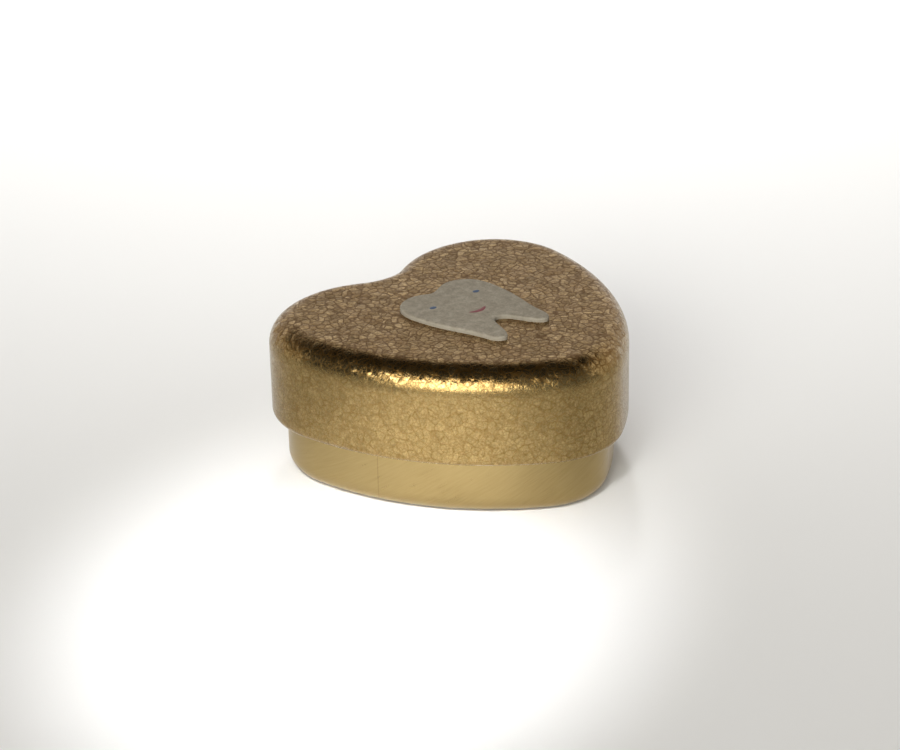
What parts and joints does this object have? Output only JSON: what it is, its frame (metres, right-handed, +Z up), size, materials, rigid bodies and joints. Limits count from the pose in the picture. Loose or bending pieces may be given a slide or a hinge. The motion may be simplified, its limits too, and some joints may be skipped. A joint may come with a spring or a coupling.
{
  "type": "wind-up music box",
  "caption": "Heart-shaped gold tin with a slip-over lid and a tooth badge, holding a small wind-up music movement with a key underneath.",
  "frame": {"origin": "centre of the bounding box in plan, on the plane the foot rests on", "axes": "+Z up, +Y towards the heart's notch (back), -Y towards the heart's tip, +X to the right with the tip towards the viewer"},
  "size_m": [0.08, 0.0738, 0.036],
  "materials": {
    "gold_crackle": "fine crackle metallic lacquer on tinplate",
    "badge_enamel": "satin off-white moulded resin",
    "gold_satin": "satin gold lacquer with fine brushing on tinplate",
    "zinc": "matte zinc die casting",
    "nickel_plate": "bright nickel plate",
    "spring_steel": "blued satin",
    "steel": "turned steel",
    "brass": "satin turned brass",
    "comb_steel": "ground and polished",
    "lead": "dull",
    "wheel_plastic": "moulded acetal",
    "fan_plastic": "moulded"
  },
  "bodies": {
    "base": {"base_shell": "gold_satin", "bedplate": "zinc", "spring_housing": "nickel_plate", "mainspring": "spring_steel", "drum_bracket": "zinc", "governor_frame": "zinc", "comb": "comb_steel", "tuning_weights": "lead", "comb_screws": "steel", "frame_screws": "steel", "pan_screws": "steel"},
    "lid": {"lid_shell": "gold_crackle", "tooth_badge": "badge_enamel"},
    "winder": {"winding_arbor": "steel", "winding_key": "nickel_plate", "arbor_clip": "spring_steel"},
    "main_gear": {"main_gear": "brass", "clutch_spring": "spring_steel"},
    "drum": {"drum": "brass", "drum_arbor": "steel", "drum_pinion": "brass", "drum_gear": "brass"},
    "idler": {"idler_arbor": "steel", "idler_pinion": "brass", "worm_wheel": "wheel_plastic"},
    "governor": {"worm_shaft": "steel", "fan": "fan_plastic"},
    "stop": {"stop_slider": "nickel_plate"}
  },
  "joints": [
    {"name": "lid_lift", "type": "slide", "parent": "base", "child": "lid", "axis": [0, 0, 1], "range_m": [0, 0.045]},
    {"name": "winder_turn", "type": "hinge", "parent": "base", "child": "winder", "pos_m": [-0.0135, 0.009, 0.005], "axis": [0, 0, 1], "range_deg": [0, 1800]},
    {"name": "main_gear_spin", "type": "hinge", "parent": "base", "child": "main_gear", "pos_m": [-0.0135, 0.009, 0.019], "axis": [0, 0, 1], "continuous": true},
    {"name": "drum_spin", "type": "hinge", "parent": "base", "child": "drum", "pos_m": [0, 0.009, 0.02357], "axis": [1, 0, 0], "continuous": true},
    {"name": "idler_spin", "type": "hinge", "parent": "base", "child": "idler", "pos_m": [0.0236, 0.01562, 0.01894], "axis": [1, 0, 0], "continuous": true},
    {"name": "governor_spin", "type": "hinge", "parent": "base", "child": "governor", "pos_m": [0.0236, 0.02188, 0.019], "axis": [0, 0, 1], "continuous": true},
    {"name": "stop_slide", "type": "slide", "parent": "base", "child": "stop", "axis": [0, 1, 0], "range_m": [0, 0.0026]}
  ],
  "couplings": [
    {"joint": "drum_spin", "follows": "main_gear_spin", "ratio": 3.6},
    {"joint": "idler_spin", "follows": "main_gear_spin", "ratio": -14.4},
    {"joint": "governor_spin", "follows": "main_gear_spin", "ratio": 172.8}
  ]
}
